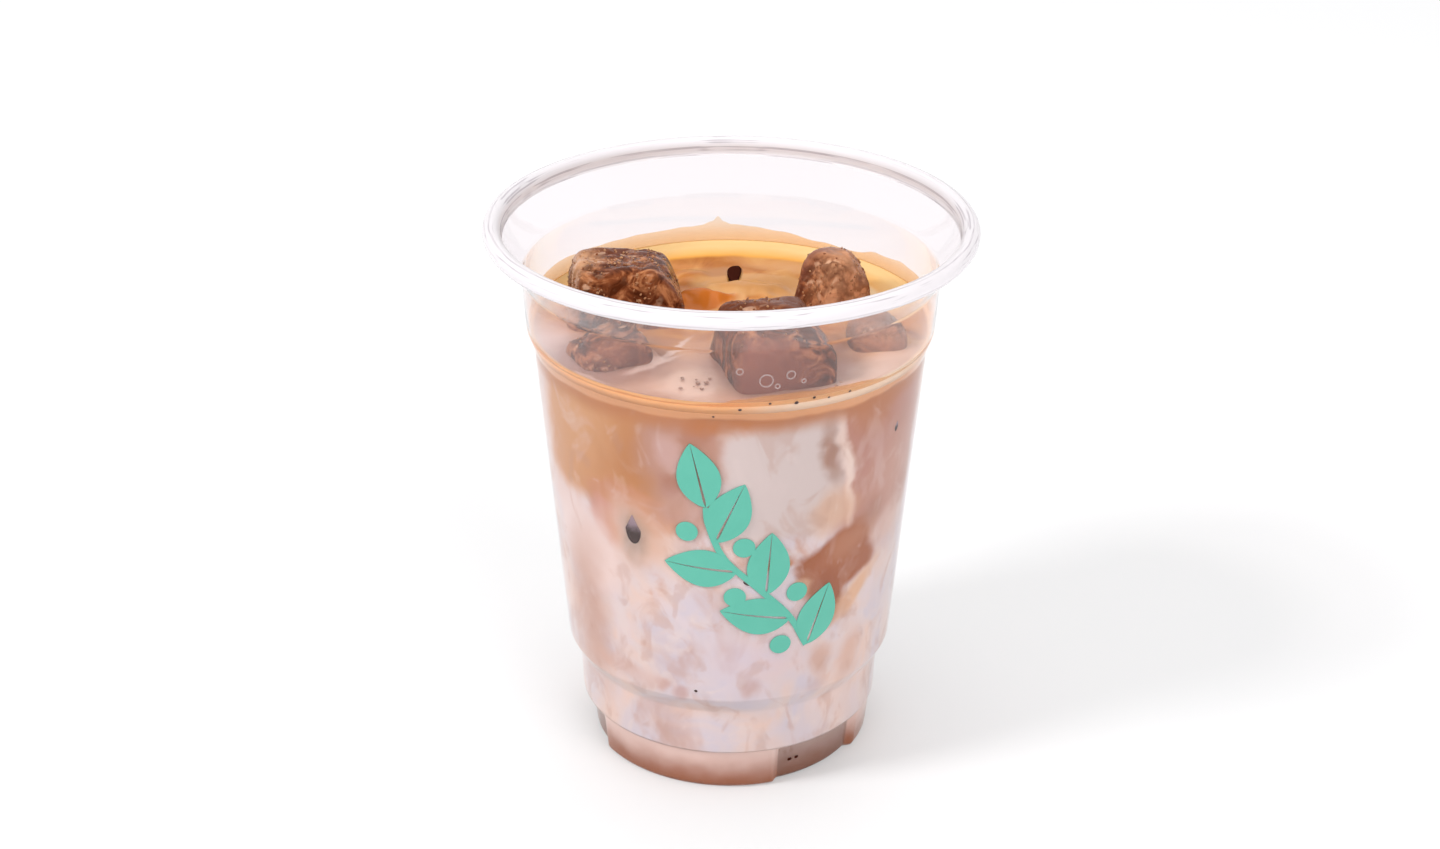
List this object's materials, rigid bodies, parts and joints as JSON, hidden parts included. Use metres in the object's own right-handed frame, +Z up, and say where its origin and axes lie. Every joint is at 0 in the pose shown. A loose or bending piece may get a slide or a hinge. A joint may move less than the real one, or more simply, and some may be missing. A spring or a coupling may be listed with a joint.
{
  "type": "iced latte",
  "caption": "Iced latte with ice in a clear stepped plastic cup with a curled lip and a footed base ring.",
  "frame": {"origin": "on the table under the middle of the cup's base", "axes": "+Z up along the cup's axis, +X to the right and -Y towards the viewer of the front"},
  "size_m": [0.098, 0.098, 0.115],
  "materials": {
    "clear_plastic": "clear glossy formed sheet",
    "latte": "opaque milk marbled with coffee",
    "crema": "wet thin coffee foam",
    "ice": "wet ice coated in coffee"
  },
  "bodies": {
    "root": {"cup": "clear_plastic", "latte": "latte", "crema": "crema", "ice_back_left": "ice", "ice_front_left": "ice", "ice_front_centre": "ice", "ice_back_right": "ice", "ice_front_right": "ice"}
  },
  "joints": []
}
